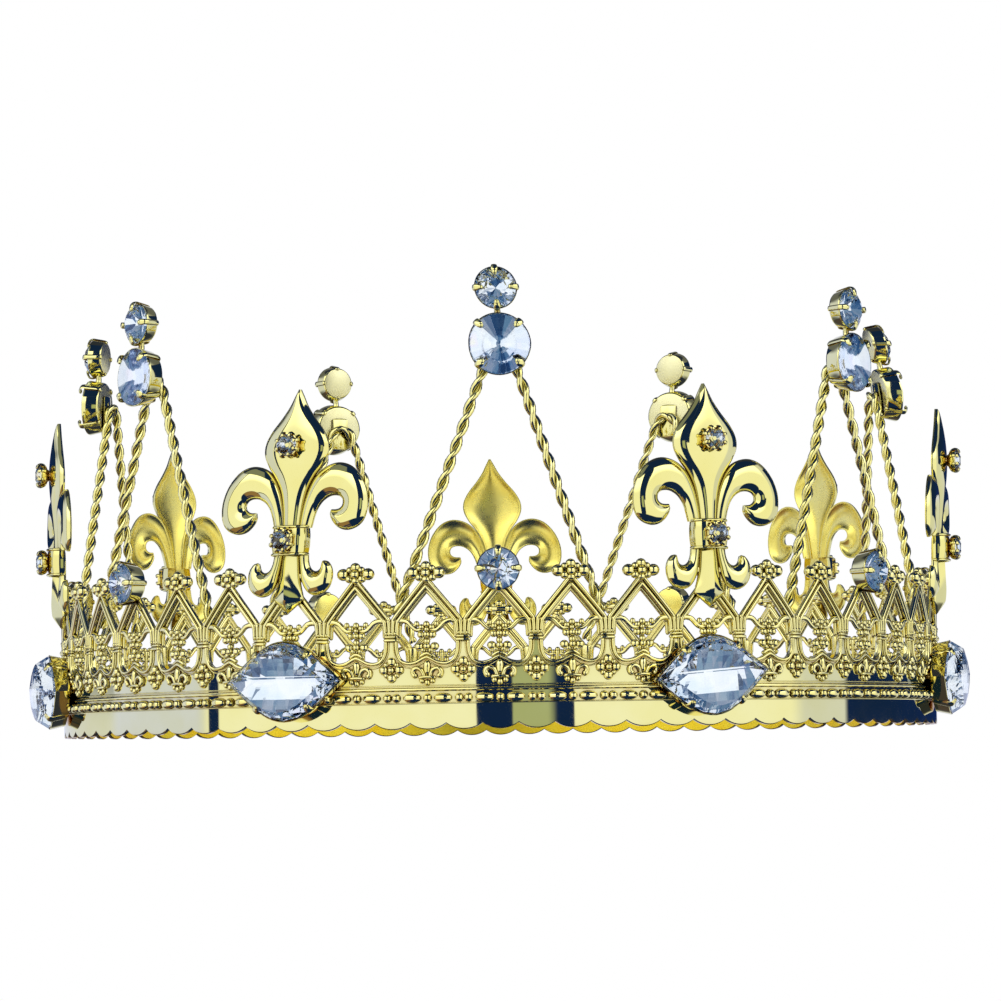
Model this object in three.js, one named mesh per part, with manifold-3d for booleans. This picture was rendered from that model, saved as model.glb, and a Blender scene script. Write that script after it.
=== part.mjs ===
// A full-round costume crown in gold-plated metal, standing on its scalloped lower rim.
// Frame: millimetres, +Z up, origin on the crown's axis in the plane of the lower rim, front towards -Y.
// The gallery band is one pierced strip of 42 arches bent into a ring and soldered shut. Seven fleurs-de-lis and
// seven twisted-wire spires alternate round it, each spire carrying a rivoli and a smaller round stone in claw
// cups. A navette stone in a claw cup stands under each fleur, and a round stone on the arch under each spire.
import * as THREE from "three";
import { mergeVertices } from "three/addons/utils/BufferGeometryUtils.js";
import Module from "manifold-3d";

// ---- driving dimensions (mm) ----
const R_BAND = 85.0; // outer face of the band's sheet
const SHEET = 1.1; // thickness of the band
const ARCHES = 42; // arches round the band
const STATIONS = 7; // fleurs, and spires
const PITCH = (2 * Math.PI * R_BAND) / ARCHES; // 12.72, one arch
const U = PITCH / 2;
const SCALLOP = 1.05; // depth of the scalloped rim
const Z_NOTCH = 19.35; // foot of the notch between two arches
const Z_KNOB = 29.3; // top of the knob on an arch

const ROPE_D = 1.9; // two 0.95 mm wires twisted together
const ROPE_FOOT = [18.3, 19.6, 80.5]; // a spire's foot: half-spread, height, and distance out from the axis
const ROPE_TOP = [3.0, 61.6, 81.1];
const ROPE_CROWN = 66.4;

const RIVOLI = { r: 5.35, y: 66.5, back: 82.45, girdle: 85.9, apex: 88.0 };
const TOP_STONE = { r: 3.65, y: 76.6, back: 82.45, girdle: 85.6, apex: 87.4 };
const ARCH_STONE = { r: 3.65, y: 27.3, back: 84.5, girdle: 88.4, apex: 90.2 };

const FLEUR = { tip: 60.4, back: 85.35, front: 87.0 };
const FLEUR_CUPS = [49.6, 32.7]; // heights of the two small cups on a fleur
const FLEUR_CUP_R = 2.35;
const FLEUR_CUP_TOP = 90.9;

const NAVETTE = { w: 22.4, h: 13.8, y: 8.8, back: 85.4, rim: 89.0, apex: 92.2 };

// The crown is assembled by hand, so no two stations stand quite alike. A spire's lean is [along the band, out from the
// axis, up, extra along at the top cup, extra out at the top cup], and grows from its foot to the rivoli.
const SPIRE_LEAN = [
  [0.95, 0.3, 0.5, -0.8, 0], [-0.5, -1.1, -0.5, 0, 0], [0.3, -3.2, 0.3, 0, -1.6], [-1.7, 0, 1.7, 0, 0],
  [-2.1, -0.3, 0, 0.6, 0], [0, -2.0, 0.2, 0, 0], [0, -1.2, -1.0, 0, 0],
];
// A fleur's lean is [along the band, out from the axis], and grows from its foot to its tip.
const FLEUR_LEAN = [[-0.6, 0], [0, 0.8], [0, 0], [1.5, 0], [1.1, 0.4], [0, 0], [3.2, 0]];
const NAVETTE_SHIFT = [-1.1, 0, 0, 0, 0, 0, 0.4]; // along the band
const NAVETTE_TURN = [4.5, 0, -1.5, 0, 1.0, 0, 0]; // degrees about its own middle

// ---- helpers ----
const wasm = await Module();
wasm.setup();

// A closed geometry as a solid, with its faces turned out.
function solid(geometry) {
  let g = geometry.index ? geometry.toNonIndexed() : geometry.clone();
  g.deleteAttribute("normal");
  g.deleteAttribute("uv");
  g = mergeVertices(g, 1e-4);
  const index = g.index.array;
  const triVerts = [];
  for (let i = 0; i < index.length; i += 3)
    if (index[i] !== index[i + 1] && index[i + 1] !== index[i + 2] && index[i] !== index[i + 2])
      triVerts.push(index[i], index[i + 1], index[i + 2]);
  const make = (t) =>
    new wasm.Manifold(
      new wasm.Mesh({ numProp: 3, vertProperties: new Float32Array(g.attributes.position.array), triVerts: new Uint32Array(t) }),
    );
  const made = make(triVerts);
  if (made.volume() > 0) return made;
  for (let i = 0; i < triVerts.length; i += 3) [triVerts[i + 1], triVerts[i + 2]] = [triVerts[i + 2], triVerts[i + 1]];
  return make(triVerts);
}

function geometryOf(s) {
  const m = s.getMesh();
  const v = new Float32Array(m.numVert * 3);
  for (let i = 0; i < m.numVert; i++) for (let k = 0; k < 3; k++) v[3 * i + k] = m.vertProperties[m.numProp * i + k];
  const g = new THREE.BufferGeometry();
  g.setAttribute("position", new THREE.BufferAttribute(v, 3));
  g.setIndex(new THREE.BufferAttribute(new Uint32Array(m.triVerts), 1));
  g.computeVertexNormals();
  return g;
}

// A turned body whose axis runs outwards: profile points are [distance from the axis, radius from the crown's axis].
function turned(profile, y, segments = 12, turn = 0) {
  const g = new THREE.LatheGeometry(profile.map(([r, h]) => new THREE.Vector2(r, h)), segments);
  g.rotateX(Math.PI / 2);
  g.rotateZ(turn);
  g.translate(0, y, 0);
  return g;
}

function plate(points, back, front) {
  const g = new THREE.ExtrudeGeometry(new THREE.Shape(points.map(([x, y]) => new THREE.Vector2(x, y))), {
    depth: front - back,
    bevelEnabled: false,
  });
  g.translate(0, 0, back);
  return g;
}

function claw(angle, r0, r1, z0, z1, width) {
  const g = new THREE.BoxGeometry(r1 - r0, width, z1 - z0);
  g.translate((r0 + r1) / 2, 0, (z0 + z1) / 2);
  g.rotateZ(angle);
  return g;
}

// A copy of a geometry that leans: at height y its points move by the offsets that at(y) gives.
function leaning(geometry, at) {
  const g = geometry.clone(), p = g.attributes.position;
  for (let i = 0; i < p.count; i++) {
    const [x, z, y] = at(p.getY(i));
    p.setXYZ(i, p.getX(i) + x, p.getY(i) + y, p.getZ(i) + z);
  }
  g.computeVertexNormals();
  return g;
}
function spireLean([x, z, y, topX, topZ]) {
  return (h) => {
    const t = Math.max(0, (h - ROPE_FOOT[1]) / (RIVOLI.y - ROPE_FOOT[1])), top = Math.max(0, (h - RIVOLI.y) / (TOP_STONE.y - RIVOLI.y));
    return [x * t + topX * top, z * t + topZ * top, y * Math.min(1, t)];
  };
}
function fleurLean([x, z]) {
  return (h) => {
    const t = Math.max(0, (h - 21) / (FLEUR.tip - 21));
    return [x * t, z * t, 0];
  };
}

const gold = (rough = 0.12) => new THREE.MeshStandardMaterial({ color: 0xf2cf5b, roughness: rough, metalness: 1 });
const crystal = () => new THREE.MeshStandardMaterial({ color: 0xcfdcf0, roughness: 0.03, metalness: 0, transparent: true, opacity: 0.6 });

const crown = new THREE.Group();

// A group whose +X runs round the band, +Y is up and +Z points outwards from the crown's axis, at an angle from the front.
function station(angle) {
  const turn = new THREE.Group();
  turn.rotation.z = angle;
  const face = new THREE.Group();
  face.rotation.x = Math.PI / 2;
  turn.add(face);
  crown.add(turn);
  return face;
}
function add(parent, name, geometry, material) {
  const mesh = new THREE.Mesh(geometry, material);
  mesh.name = name;
  parent.add(mesh);
}

// ---- gallery band ----
// Half an arch, from the middle of a post (u = 0) to the middle of the arch (u = U), as [u, height].
const half = [
  [0, 0], [1.4, 0], [U / 2, SCALLOP], [U - 1.4, 0], [U, 0], // scalloped rim
  [U, 18.4], [1.84, Z_NOTCH], // column head and arm
  [U, 25.1], [U, Z_KNOB], [3.6, 28.2], [4.75, 25.6], // knob
  [0, Z_NOTCH],
];
const halfHole = [[1.15, 13.7], [1.15, 18.0], [4.5, 16.9], [4.5, 12.6]];

function bandGeometry() {
  const contour = half.map(([u, z]) => new THREE.Vector2(u, z));
  const hole = halfHole.map(([u, z]) => new THREE.Vector2(u, z));
  const faces = THREE.ShapeUtils.triangulateShape(contour.slice(), [hole.slice()]);
  const all = [...contour, ...hole];
  const area = (a, b, c) => (b.x - a.x) * (c.y - a.y) - (b.y - a.y) * (c.x - a.x);
  const positions = [];
  const put = (p, outer, k) => {
    const mirrored = k % 2 === 1;
    const u = (mirrored ? -p.x : p.x) + (mirrored ? (k + 1) / 2 : k / 2) * PITCH;
    const a = ((u - U) / PITCH) * ((2 * Math.PI) / ARCHES); // an arch is centred on angle 0
    const r = outer ? R_BAND : R_BAND - SHEET;
    positions.push(r * Math.sin(a), -r * Math.cos(a), p.y);
  };
  const tri = (a, b, c, oa, ob, oc, k, flip) => {
    const t = [[a, oa], [b, ob], [c, oc]];
    if (flip !== (k % 2 === 1)) t.reverse();
    for (const [p, o] of t) put(p, o, k);
  };
  const rings = [contour, hole];
  for (let k = 0; k < 2 * ARCHES; k++) {
    for (const f of faces) {
      let [a, b, c] = f.map((i) => all[i]);
      if (area(a, b, c) < 0) [b, c] = [c, b];
      tri(a, b, c, true, true, true, k, false);
      tri(a, b, c, false, false, false, k, true);
    }
    for (const ring of rings) {
      const ccw = THREE.ShapeUtils.area(ring) > 0;
      const outwards = ring === contour ? ccw : !ccw;
      for (let i = 0; i < ring.length; i++) {
        let a = ring[i], b = ring[(i + 1) % ring.length];
        if (!outwards) [a, b] = [b, a];
        const onEdge = (q) => (a.x === q && b.x === q);
        if (onEdge(0) || onEdge(U)) continue; // shared with the next half
        tri(a, b, b, false, false, true, k, false);
        tri(a, b, a, false, true, true, k, false);
      }
    }
  }
  const g = new THREE.BufferGeometry();
  g.setAttribute("position", new THREE.BufferAttribute(new Float32Array(positions), 3));
  return g;
}

// ---- cups and stones ----
const SEG = 10;
function cup(s) {
  const rb = s.r * 0.74;
  return turned([[0, s.back], [rb, s.back], [s.r + 0.45, s.girdle], [s.r + 0.12, s.girdle], [rb - 0.35, s.back + 0.55], [0, s.back + 0.55]], 0, SEG);
}
function clawedCup(s, turn) {
  let made = solid(cup(s));
  for (let k = 0; k < 4; k++)
    made = made.add(solid(claw(turn + (k * Math.PI) / 2, s.r + 0.1, s.r + 0.6, s.girdle - 0.9, s.girdle + 1.0, 1.1)));
  return made.translate([0, s.y, 0]);
}
// A pointed stone: facets rise to the apex on the front, and fall to the culet at the back.
function rivoli(s) {
  return turned([[0, s.back + 1.0], [s.r - 0.25, s.girdle - 0.1], [s.r - 0.1, s.girdle + 0.25], [0, s.apex]], s.y, SEG);
}
// A round stone with a flat table.
function chaton(s) {
  return turned([[0, s.back + 1.0], [s.r - 0.25, s.girdle - 0.1], [s.r - 0.1, s.girdle + 0.25], [s.r * 0.62, s.apex], [0, s.apex]], s.y, SEG);
}

const band = (() => {
  let made = solid(bandGeometry());
  for (let i = 0; i < STATIONS; i++) {
    const a = (i * 2 * Math.PI) / STATIONS;
    const c = clawedCup(ARCH_STONE, 0).rotate([90, 0, 0]).rotate([0, 0, THREE.MathUtils.radToDeg(a)]);
    made = made.add(c);
  }
  return made;
})();
add(crown, "gallery_band", geometryOf(band), gold(0.12));

// ---- fleur-de-lis ----
// Right half of the outline, as [x, height below the tip], from the tip down.
const petal = [
  [0.4, 0], [2.6, -4.9], [5.6, -9.0], [5.6, -12.4], [3.3, -16.4], // leaf
  [7.4, -13.9], [11.4, -14.0], [14.3, -17.4], [14.6, -21.4], [12.6, -24.6], [9.2, -24.8], [7.45, -22.7], // outer edge of the petal
  [10.2, -21.2], [9.4, -18.0], [6.1, -20.0], [3.7, -24.8], // inner edge
  [3.6, -31.0], [6.0, -30.8], [8.3, -34.2], [6.2, -36.7], [3.2, -36.4], // stem, and the small petal under the collar
  [0, -41.0],
];
const outline = [...petal.map(([x, y]) => [x, y + FLEUR.tip]), ...petal.slice(0, -1).reverse().map(([x, y]) => [-x, y + FLEUR.tip])];
const fleur = (() => {
  let made = solid(plate(outline, FLEUR.back, FLEUR.front));
  for (const y of FLEUR_CUPS)
    made = made.add(
      solid(
        turned(
          [[0, FLEUR.back + 0.6], [1.3, FLEUR.back + 0.6], [1.5, 88.3], [FLEUR_CUP_R, 90.2], [1.2, FLEUR_CUP_TOP], [0, FLEUR_CUP_TOP]],
          y, 8, Math.PI / 8,
        ),
      ),
    );
  return made;
})();
const fleurGeometry = geometryOf(fleur);

// ---- spires ----
const rope = (() => {
  const [fx, fy, fr] = ROPE_FOOT, [tx, ty, tr] = ROPE_TOP;
  const points = [
    new THREE.Vector3(-fx, fy, fr),
    new THREE.Vector3(-(fx * 2 + tx) / 3, (fy * 2 + ty) / 3, (fr * 2 + tr) / 3),
    new THREE.Vector3(-(fx + 2 * tx) / 3, (fy + 2 * ty) / 3, (fr + 2 * tr) / 3),
    new THREE.Vector3(-tx, ty, tr),
    new THREE.Vector3(-2.0, ROPE_CROWN - 1.4, tr), new THREE.Vector3(0, ROPE_CROWN, tr), new THREE.Vector3(2.0, ROPE_CROWN - 1.4, tr),
    new THREE.Vector3(tx, ty, tr),
    new THREE.Vector3((fx + 2 * tx) / 3, (fy + 2 * ty) / 3, (fr + 2 * tr) / 3),
    new THREE.Vector3((fx * 2 + tx) / 3, (fy * 2 + ty) / 3, (fr * 2 + tr) / 3),
    new THREE.Vector3(fx, fy, fr),
  ];
  const section = new THREE.Shape();
  for (let i = 0; i < 6; i++) {
    const a = (i / 6) * 2 * Math.PI;
    const p = [(ROPE_D / 2) * Math.cos(a), (ROPE_D / 2) * Math.sin(a)];
    i ? section.lineTo(...p) : section.moveTo(...p);
  }
  section.closePath();
  return new THREE.ExtrudeGeometry(section, {
    steps: 18, bevelEnabled: false, extrudePath: new THREE.CatmullRomCurve3(points, false, "centripetal"),
  });
})();
const ropeGeometry = geometryOf(solid(rope));
const spireCups = (() => {
  let made = clawedCup(RIVOLI, Math.PI / 4).add(clawedCup(TOP_STONE, 0));
  const link = new THREE.BoxGeometry(1.6, 4.0, 1.2);
  link.translate(0, 72.2, 84.4);
  return made.add(solid(link));
})();
const spireCupsGeometry = geometryOf(spireCups);
const rivoliGeometry = geometryOf(solid(rivoli(RIVOLI)));
const topStoneGeometry = geometryOf(solid(chaton(TOP_STONE)));
const archStoneGeometry = geometryOf(solid(chaton(ARCH_STONE)));

// ---- navettes ----
// The outline of a stone that is pointed left and right and round above and below, grown by g.
function navette(g) {
  const a = NAVETTE.w / 2 + g * 1.35, b = NAVETTE.h / 2 + g;
  const q = [[a, 0], [a * 0.6, b * 0.66], [a * 0.24, b * 0.97]];
  const top = [...q, ...q.slice().reverse().map(([x, y]) => [-x, y])];
  return [...top, ...q.slice(1).map(([x, y]) => [-x, -y]), ...q.slice(1).reverse().map(([x, y]) => [x, -y])];
}
function loft(rings) {
  // rings: outlines of equal length at rising radius, closed by flat ends
  const n = rings[0].points.length, positions = [];
  const at = (k, i) => [rings[k].points[i % n][0], rings[k].points[i % n][1], rings[k].z];
  const shape = (k) => rings[k].points.map(([x, y]) => new THREE.Vector2(x, y));
  for (let k = 0; k + 1 < rings.length; k++)
    for (let i = 0; i < n; i++) positions.push(...at(k, i), ...at(k, i + 1), ...at(k + 1, i + 1), ...at(k, i), ...at(k + 1, i + 1), ...at(k + 1, i));
  for (const [k, flip] of [[0, true], [rings.length - 1, false]])
    for (const f of THREE.ShapeUtils.triangulateShape(shape(k), []))
      for (const i of flip ? [f[0], f[2], f[1]] : f) positions.push(...at(k, i));
  const g = new THREE.BufferGeometry();
  g.setAttribute("position", new THREE.BufferAttribute(new Float32Array(positions), 3));
  return g;
}
const navetteStoneGeometry = geometryOf(
  solid(
    loft([
      { points: navette(-3.6), z: NAVETTE.back + 0.9 },
      { points: navette(-0.6), z: NAVETTE.rim },
      { points: navette(-0.6), z: NAVETTE.rim + 0.9 },
      { points: navette(-3.0), z: NAVETTE.apex },
    ]),
  ),
);
const navetteCupGeometry = (() => {
  const outer = solid(loft([{ points: navette(-1.1), z: NAVETTE.back }, { points: navette(0.15), z: NAVETTE.rim + 0.2 }]));
  const inner = solid(loft([{ points: navette(-1.9), z: NAVETTE.back + 0.55 }, { points: navette(-0.3), z: NAVETTE.rim + 0.3 }]));
  let made = outer.subtract(inner);
  const q = navette(0);
  for (const i of [1, 4, 6, 9]) {
    const [x, y] = q[i];
    const box = new THREE.BoxGeometry(0.6, 1.3, 2.4);
    box.rotateZ(Math.atan2(y, x));
    box.translate(x * 1.025, y * 1.025, NAVETTE.rim - 0.2);
    made = made.add(solid(box));
  }
  return geometryOf(made);
})();

for (let i = 0; i < STATIONS; i++) {
  const s = station((i * 2 * Math.PI) / STATIONS);
  const n = i + 1, spire = spireLean(SPIRE_LEAN[i]);
  add(s, "spire_wire_" + n, leaning(ropeGeometry, spire), gold(0.15));
  add(s, "spire_claw_cups_" + n, leaning(spireCupsGeometry, spire), gold(0.15));
  add(s, "spire_rivoli_stone_" + n, leaning(rivoliGeometry, spire), crystal());
  add(s, "spire_top_stone_" + n, leaning(topStoneGeometry, spire), crystal());
  add(s, "arch_stone_" + n, archStoneGeometry, crystal());
  const f = station(((i + 0.5) * 2 * Math.PI) / STATIONS);
  add(f, "fleur_de_lis_" + n, leaning(fleurGeometry, fleurLean(FLEUR_LEAN[i])), gold(0.1));
  const under = new THREE.Group();
  under.position.set(NAVETTE_SHIFT[i], NAVETTE.y, 0);
  under.rotation.z = THREE.MathUtils.degToRad(NAVETTE_TURN[i]);
  f.add(under);
  add(under, "navette_claw_cup_" + n, navetteCupGeometry, gold(0.15));
  add(under, "navette_stone_" + n, navetteStoneGeometry, crystal());
}

export default crown;
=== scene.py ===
import math

import bmesh
import bpy
import numpy as np
from mathutils import Matrix, Vector


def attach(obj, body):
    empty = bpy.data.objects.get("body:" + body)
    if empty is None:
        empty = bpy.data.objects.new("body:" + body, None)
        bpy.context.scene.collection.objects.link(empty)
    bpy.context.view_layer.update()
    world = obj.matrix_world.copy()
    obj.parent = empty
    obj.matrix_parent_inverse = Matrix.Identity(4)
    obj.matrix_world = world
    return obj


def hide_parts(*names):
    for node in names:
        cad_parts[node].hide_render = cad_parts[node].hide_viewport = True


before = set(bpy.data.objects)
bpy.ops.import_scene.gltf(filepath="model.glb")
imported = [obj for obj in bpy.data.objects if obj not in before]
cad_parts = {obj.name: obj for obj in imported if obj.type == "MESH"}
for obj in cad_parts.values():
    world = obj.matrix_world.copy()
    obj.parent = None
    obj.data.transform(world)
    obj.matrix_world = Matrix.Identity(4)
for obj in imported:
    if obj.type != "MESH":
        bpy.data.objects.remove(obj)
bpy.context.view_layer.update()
bpy.context.scene.view_settings.view_transform = "Standard"
bpy.context.scene.cycles.glossy_bounces = 8

MM = 0.001
R = 85.0  # outer face of the gallery band
ARCHES = 42
STATIONS = 7
STEP = 2 * math.pi / ARCHES
PITCH = R * STEP
U = PITCH / 2  # half an arch
STATION = 2 * math.pi / STATIONS


# ------------------------------------------------------------------ mesh tools
class Soup:
    """Closed shells gathered into one mesh. Faces are rows of four indices, with -1 last for a triangle."""

    def __init__(self):
        self.v, self.f, self.m, self.s, self.n = [], [], [], [], 0

    def add(self, shell, mat=0, smooth=True):
        v, f = shell
        v, f = np.asarray(v, float), np.asarray(f, int)
        self.v.append(v)
        self.f.append(np.where(f >= 0, f + self.n, -1))
        self.m.append(np.full(len(f), mat) if np.isscalar(mat) else np.asarray(mat, int))
        self.s.append(np.full(len(f), smooth))
        self.n += len(v)
        return self

    def arrays(self):
        return np.concatenate(self.v), np.concatenate(self.f), np.concatenate(self.m), np.concatenate(self.s)


def quads(rows, cols, wrap=False, start=0):
    i, j = np.meshgrid(np.arange(rows - 1), np.arange(cols if wrap else cols - 1), indexing="ij")
    a = i * cols + j
    b = i * cols + (j + 1) % cols
    return np.stack([a, b, b + cols, a + cols], -1).reshape(-1, 4) + start


def smooth(points, per=6):
    """A Catmull-Rom curve through the points, per steps to each stretch."""
    p = np.asarray(points, float)
    if p.ndim == 1:
        p = p[:, None]
    q = np.vstack([2 * p[0] - p[1], p, 2 * p[-1] - p[-2]])
    t = (np.arange(per) / per)[:, None]
    out = []
    for i in range(len(p) - 1):
        a, b, c, d = q[i : i + 4]
        out.append(0.5 * (2 * b + (c - a) * t + (2 * a - 5 * b + 4 * c - d) * t**2 + (3 * b - a - 3 * c + d) * t**3))
    out = np.vstack(out + [p[-1:]])
    return out[:, 0] if out.shape[1] == 1 else out


def ball(c, r, seg=10, rings=6, half=False):
    """A sphere or ellipsoid with its pole outwards, or only its outer half, closed flat behind."""
    r = np.ones(3) * r
    t = np.linspace(0, math.pi * (0.58 if half else 1.0), rings + 1)
    inner = t[1:] if half else t[1:-1]
    a = np.arange(seg) / seg * 2 * math.pi
    v = [[0, 0, 1.0]]
    for x in inner:
        v += [[math.sin(x) * math.cos(y), math.sin(x) * math.sin(y), math.cos(x)] for y in a]
    v.append([0, 0, math.cos(t[-1])])
    n = len(inner)
    f = [[0, 1 + j, 1 + (j + 1) % seg, -1] for j in range(seg)]
    f += quads(n, seg, True, 1)[:, ::-1].tolist()
    last, base = 1 + n * seg, 1 + (n - 1) * seg
    f += [[base + (j + 1) % seg, base + j, last, -1] for j in range(seg)]
    return np.array(v) * r + np.asarray(c, float), np.array(f)


def tube(path, a, b=None, across=(0, 0, 1), sides=8, round_ends=True):
    """A rod along a path: a is its half-width in the path's plane, b its half-width across that plane."""
    p = np.asarray(path, float)
    n = len(p)
    b = a if b is None else b
    a, b = np.ones(n) * a, np.ones(n) * b
    t = np.gradient(p, axis=0)
    t /= np.linalg.norm(t, axis=1)[:, None]
    across = np.broadcast_to(np.asarray(across, float), (n, 3))
    side = np.cross(across, t)
    side /= np.linalg.norm(side, axis=1)[:, None]
    up = np.cross(t, side)
    ang = (np.arange(sides) + 0.5) / sides * 2 * math.pi
    ca, sa = np.cos(ang)[None, :, None], np.sin(ang)[None, :, None]

    def ring(i, scale, shift):
        m = min(a[i], b[i])
        return (p[i] + t[i] * shift * m)[None, :] + (side[i] * a[i])[None, :] * ca[0] * scale + (up[i] * b[i])[None, :] * sa[0] * scale

    body = p[:, None, :] + (side * a[:, None])[:, None, :] * ca + (up * b[:, None])[:, None, :] * sa
    rows = [body.reshape(-1, 3)]
    if round_ends:
        rows = [ring(0, 0.45, -0.9), ring(0, 0.8, -0.6)] + rows + [ring(-1, 0.8, 0.6), ring(-1, 0.45, 0.9)]
        ends = (p[0] - t[0] * min(a[0], b[0]), p[-1] + t[-1] * min(a[-1], b[-1]))
    else:
        ends = (p[0], p[-1])
    v = np.vstack(rows + [np.array([ends[0], ends[1]])])
    count = len(v) - 2
    f = quads(count // sides, sides, True).tolist()
    f += [[count, (j + 1) % sides, j, -1] for j in range(sides)]
    f += [[count + 1, count - sides + j, count - sides + (j + 1) % sides, -1] for j in range(sides)]
    return v, np.array(f)


def lathe(profile, c=(0, 0, 0), seg=28):
    """Turned about the outward axis: profile points are [radius, outward distance]. Ends on the axis, or closes on itself."""
    pr = np.asarray(profile, float)
    closed = np.allclose(pr[0], pr[-1])
    pr = pr[:-1] if closed else pr
    a = np.arange(seg) / seg * 2 * math.pi
    v, rings = [], []
    for r, z in pr:
        if r < 1e-6:
            rings.append([len(v)])
            v.append([0, 0, z])
        else:
            rings.append(list(range(len(v), len(v) + seg)))
            v += [[r * math.cos(x), r * math.sin(x), z] for x in a]
    f = []
    pairs = list(zip(rings, rings[1:] + ([rings[0]] if closed else [])))
    for p, q in pairs if closed else pairs[: len(rings) - 1]:
        for j in range(seg):
            k = (j + 1) % seg
            if len(p) == 1 and len(q) == 1:
                continue
            if len(p) == 1:
                f.append([p[0], q[j], q[k], -1])
            elif len(q) == 1:
                f.append([p[j], q[0], p[k], -1])
            else:
                f.append([p[j], q[j], q[k], p[k]])
    return np.array(v) + np.asarray(c, float), np.array(f)


# Slope of a pressed lobe, in degrees, against the distance in from its edge.
PRESS = np.array([(0, 70), (0.12, 60), (0.35, 44), (0.65, 34), (1.0, 28.5), (1.6, 21), (2.4, 14), (4.0, 8), (6.5, 3)]).T


def pressing(w, d):
    """Height of a lobe of half-width w at the distances d in from its edge. The slope dies away at the middle."""
    q = np.linspace(0, w, 80)
    slope = np.tan(np.radians(np.interp(q, *PRESS))) * (1 - (q / w) ** 4)
    return np.interp(d, q, np.r_[0, np.cumsum((slope[1:] + slope[:-1]) / 2 * np.diff(q))])


def domed(one, two, height, base, thick=0.55, rim=0.3, n=16, per=6, power=2.3, roof=0.0, pressed=False):
    """A pressed-sheet lobe between two rails: domed in front, hollow behind, with a thin rim all round.
    Returns the shell and a material index for each face: 0 on the front, 1 in the hollow."""
    a, b, h = smooth(one, per), smooth(two, per), np.clip(smooth(height, per), 0.05, None)
    v = -np.cos(np.linspace(0, math.pi, n + 1))
    dome = (1 - np.abs(v) ** power) ** (1 / power)
    dome = (1 - roof) * dome + roof * (1 - np.abs(v))
    rise, sunk = h[:, None] * dome[None, :], np.clip(h - thick, 0.0, None)[:, None] * dome[None, :]
    if pressed:
        rise = np.array([pressing(w, (1 - np.abs(v)) * w) for w in np.linalg.norm(a - b, axis=1) / 2])
        sunk = np.clip(rise - thick, 0.0, None)
    t = (v + 1) / 2
    xy = a[:, None, :] * (1 - t)[None, :, None] + b[:, None, :] * t[None, :, None]
    front, back = base + rim + rise, base + sunk
    loops = np.concatenate(
        [np.dstack([xy, front]), np.dstack([xy, back])[:, ::-1]], axis=1
    )
    rows, cols = loops.shape[:2]
    f = quads(rows, cols, True)
    m = np.where((f[:, 0] % cols) > n, 1, 0)
    caps = []
    for r0, flip in ((0, False), ((rows - 1) * cols, True)):
        for j in range(n):
            q = [r0 + j, r0 + j + 1, r0 + 2 * n - j, r0 + 2 * n + 1 - j]
            caps.append(q[::-1] if flip else q)
    return (loops.reshape(-1, 3), np.vstack([f, caps])), np.concatenate([m, np.zeros(len(caps), int)])


def bend(v, angle=0.0):
    """From (along the band, up, out from its face) to the ring."""
    a, r = v[:, 0] / R + angle, R + v[:, 2]
    return np.stack([r * np.sin(a), -r * np.cos(a), v[:, 1]], -1)


def mesh_of(name, soup, mats, sharp=42, ring=False):
    v, f, m, s = soup.arrays()
    if ring:
        v = np.vstack([bend(v, k * STEP) for k in range(ARCHES)]) if ring is True else np.vstack([bend(v, k * STEP) for k in ring])
        copies = ARCHES if ring is True else len(ring)
        f = np.vstack([np.where(f >= 0, f + k * (len(v) // copies), -1) for k in range(copies)])
        m, s = np.tile(m, copies), np.tile(s, copies)
    me = bpy.data.meshes.new(name)
    me.from_pydata((v * MM).tolist(), [], [q[:3] if q[3] < 0 else q for q in f.tolist()])
    for mat in mats:
        me.materials.append(mat)
    me.polygons.foreach_set("material_index", m.astype(np.int32))
    me.polygons.foreach_set("use_smooth", s.astype(bool))
    bm = bmesh.new()
    bm.from_mesh(me)
    bmesh.ops.recalc_face_normals(bm, faces=bm.faces)
    bm.to_mesh(me)
    bm.free()
    if sharp is not None:
        me.set_sharp_from_angle(angle=math.radians(sharp))
    me.update()
    return me


# The crown is put together by hand, so no two stations stand quite alike. A spire's lean, in mm, is [along the band,
# out from the axis, up, extra along at the top cup, extra out at the top cup]. A fleur's is [along, out] at its tip.
SPIRE_LEAN = [
    [0.95, 0.3, 0.5, -0.8, 0], [-0.5, -1.1, -0.5, 0, 0], [0.3, -3.2, 0.3, 0, -1.6], [-1.7, 0, 1.7, 0, 0],
    [-2.1, -0.3, 0, 0.6, 0], [0, -2.0, 0.2, 0, 0], [0, -1.2, -1.0, 0, 0],
]
FLEUR_LEAN = [[-0.6, 0], [0, 0.8], [0, 0], [1.5, 0], [1.1, 0.4], [0, 0], [3.2, 0]]
NAVETTE_SHIFT = [-1.1, 0, 0, 0, 0, 0, 0.4]
NAVETTE_TURN = [4.5, 0, -1.5, 0, 1.0, 0, 0]  # degrees about its own middle


def spire_lean(i):
    x, z, y, top_x, top_z = SPIRE_LEAN[i]

    def at(h):
        t, top = np.clip((h - 19.6) / 46.9, 0, None), np.clip((h - 66.5) / 10.1, 0, None)
        return x * t + top_x * top, z * t + top_z * top, y * np.clip(t, 0, 1)

    return at


def fleur_lean(i):
    x, z = FLEUR_LEAN[i]

    def at(h):
        t = np.clip((h - 21.0) / 39.4, 0, None)
        return x * t, z * t, 0 * t

    return at


def leaned(me, at, tag):
    """A copy of a standing mesh that leans."""
    out = me.copy()
    out.name = f"{me.name}_{tag}"
    co = np.empty(len(out.vertices) * 3)
    out.vertices.foreach_get("co", co)
    co = co.reshape(-1, 3)
    x, z, y = at(co[:, 2] / MM)
    co += np.stack([x, -z, y], -1) * MM
    out.vertices.foreach_set("co", co.ravel())
    out.update()
    return out


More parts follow.
